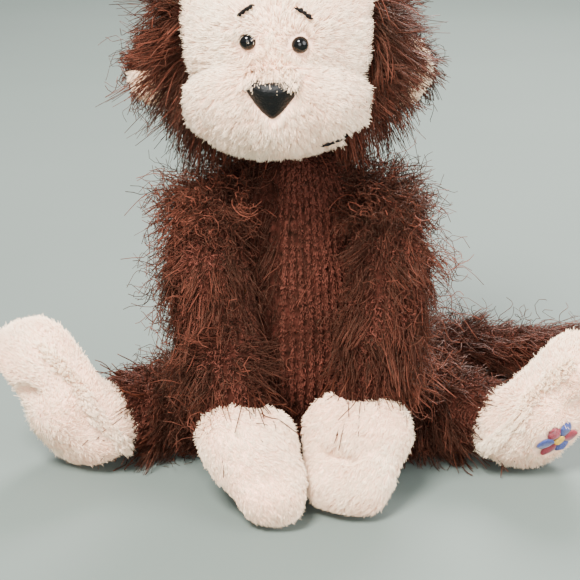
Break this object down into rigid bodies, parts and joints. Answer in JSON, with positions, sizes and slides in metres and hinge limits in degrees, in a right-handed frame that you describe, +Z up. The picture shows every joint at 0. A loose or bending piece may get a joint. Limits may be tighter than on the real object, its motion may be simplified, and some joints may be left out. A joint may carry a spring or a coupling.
{
  "type": "stuffed monkey toy",
  "caption": "Seated stuffed monkey with a shaggy brown knitted body, cream plush face, ears, hands and feet, glossy eyes, a leatherette nose, and floppy limbs and tail.",
  "frame": {"origin": "centre of the flat seat panel's underside, on the surface the toy sits on", "axes": "+Z up; the toy faces -Y; +X is the toy's own left, and the tail lies towards +X"},
  "size_m": [0.28, 0.1732, 0.225],
  "materials": {
    "brown_knit": "eyelash-yarn knit, long fine strands",
    "cream_plush": "short-pile plush",
    "fibre_filling": "loose polyester fibre",
    "pellets": "small round pellets in a mesh bag",
    "eye_black": "polished black",
    "washer_white": "moulded",
    "nose_leatherette": "fine-grained, satin",
    "black_thread": "embroidery thread",
    "label_ribbon": "blank satin ribbon",
    "flower_thread": "satin-stitched thread"
  },
  "bodies": {
    "torso": {"torso_front_panel": "brown_knit", "torso_back_panel": "brown_knit", "seat_panel": "brown_knit", "torso_filling": "fibre_filling", "seat_pellet_bag": "pellets", "armhole_gather_left": "brown_knit", "armhole_gather_right": "brown_knit", "care_label": "label_ribbon", "closing_stitches": "brown_knit"},
    "neck": {"neck_gather": "brown_knit"},
    "head": {"head_hood": "brown_knit", "face_panel": "cream_plush", "head_filling": "fibre_filling", "muzzle_panel": "cream_plush", "muzzle_filling": "fibre_filling", "eye_left": "eye_black", "eye_right": "eye_black", "eye_washer_left": "washer_white", "eye_washer_right": "washer_white", "nose": "nose_leatherette", "brow_left": "black_thread", "brow_right": "black_thread", "mouth_thread": "black_thread"},
    "ear_left": {"ear_outer_left": "brown_knit", "ear_inner_left": "cream_plush"},
    "ear_right": {"ear_outer_right": "brown_knit", "ear_inner_right": "cream_plush"},
    "arm_left": {"sleeve_left": "brown_knit", "sleeve_filling_left": "fibre_filling"},
    "arm_right": {"sleeve_right": "brown_knit", "sleeve_filling_right": "fibre_filling"},
    "hand_left": {"hand_cover_left": "cream_plush", "hand_pellets_left": "pellets"},
    "hand_right": {"hand_cover_right": "cream_plush", "hand_pellets_right": "pellets"},
    "leg_left": {"leg_cover_left": "brown_knit", "leg_filling_left": "fibre_filling"},
    "leg_right": {"leg_cover_right": "brown_knit", "leg_filling_right": "fibre_filling"},
    "foot_left": {"foot_upper_left": "cream_plush", "foot_sole_left": "cream_plush", "foot_pellets_left": "pellets", "foot_flower": "flower_thread"},
    "foot_right": {"foot_upper_right": "cream_plush", "foot_sole_right": "cream_plush", "foot_pellets_right": "pellets"},
    "tail_base": {"tail_base_cover": "brown_knit", "tail_base_filling": "fibre_filling"},
    "tail_tip": {"tail_tip_cover": "brown_knit", "tail_tip_filling": "fibre_filling"}
  },
  "joints": [
    {"name": "neck_turn", "type": "hinge", "parent": "torso", "child": "neck", "pos_m": [-0.002, -0.005, 0.133], "axis": [0, 0, 1], "range_deg": [-35, 35]},
    {"name": "neck_nod", "type": "hinge", "parent": "neck", "child": "head", "pos_m": [-0.002, -0.005, 0.133], "axis": [1, 0, 0], "range_deg": [-10, 12]},
    {"name": "ear_left_fold", "type": "hinge", "parent": "head", "child": "ear_left", "pos_m": [0.0315, 0.002, 0.16], "axis": [0, 0, 1], "range_deg": [-15, 15]},
    {"name": "ear_right_fold", "type": "hinge", "parent": "head", "child": "ear_right", "pos_m": [-0.0435, 0.002, 0.16], "axis": [0, 0, -1], "range_deg": [-15, 15]},
    {"name": "shoulder_left", "type": "hinge", "parent": "torso", "child": "arm_left", "pos_m": [0.04, -0.012, 0.113], "axis": [-0.8633, -0.3301, 0.3819], "range_deg": [0, 95]},
    {"name": "shoulder_right", "type": "hinge", "parent": "torso", "child": "arm_right", "pos_m": [-0.04, -0.012, 0.113], "axis": [-0.8633, 0.3301, -0.3819], "range_deg": [0, 95]},
    {"name": "wrist_left", "type": "hinge", "parent": "arm_left", "child": "hand_left", "pos_m": [0.028, -0.051, 0.04], "axis": [-1, 0, 0], "range_deg": [0, 28]},
    {"name": "wrist_right", "type": "hinge", "parent": "arm_right", "child": "hand_right", "pos_m": [-0.023, -0.057, 0.0375], "axis": [-1, 0, 0], "range_deg": [0, 28]},
    {"name": "hip_left", "type": "hinge", "parent": "torso", "child": "leg_left", "pos_m": [0.04, -0.009, 0.021], "axis": [0, 0, -1], "range_deg": [-10, 25]},
    {"name": "hip_right", "type": "hinge", "parent": "torso", "child": "leg_right", "pos_m": [-0.04, -0.009, 0.021], "axis": [0, 0, 1], "range_deg": [-10, 25]},
    {"name": "ankle_left", "type": "hinge", "parent": "leg_left", "child": "foot_left", "pos_m": [0.077, -0.026, 0.02], "axis": [0.4311, 0.9023, 0], "range_deg": [-12, 25]},
    {"name": "ankle_right", "type": "hinge", "parent": "leg_right", "child": "foot_right", "pos_m": [-0.0697, -0.0223, 0.021], "axis": [0.4311, -0.9023, 0], "range_deg": [-12, 25]},
    {"name": "tail_root", "type": "hinge", "parent": "torso", "child": "tail_base", "pos_m": [0.017, 0.042, 0.015], "axis": [0, 0, 1], "range_deg": [-12, 25]},
    {"name": "tail_bend", "type": "hinge", "parent": "tail_base", "child": "tail_tip", "pos_m": [0.076, 0.066, 0.013], "axis": [0, 0, 1], "range_deg": [-18, 18]}
  ]
}
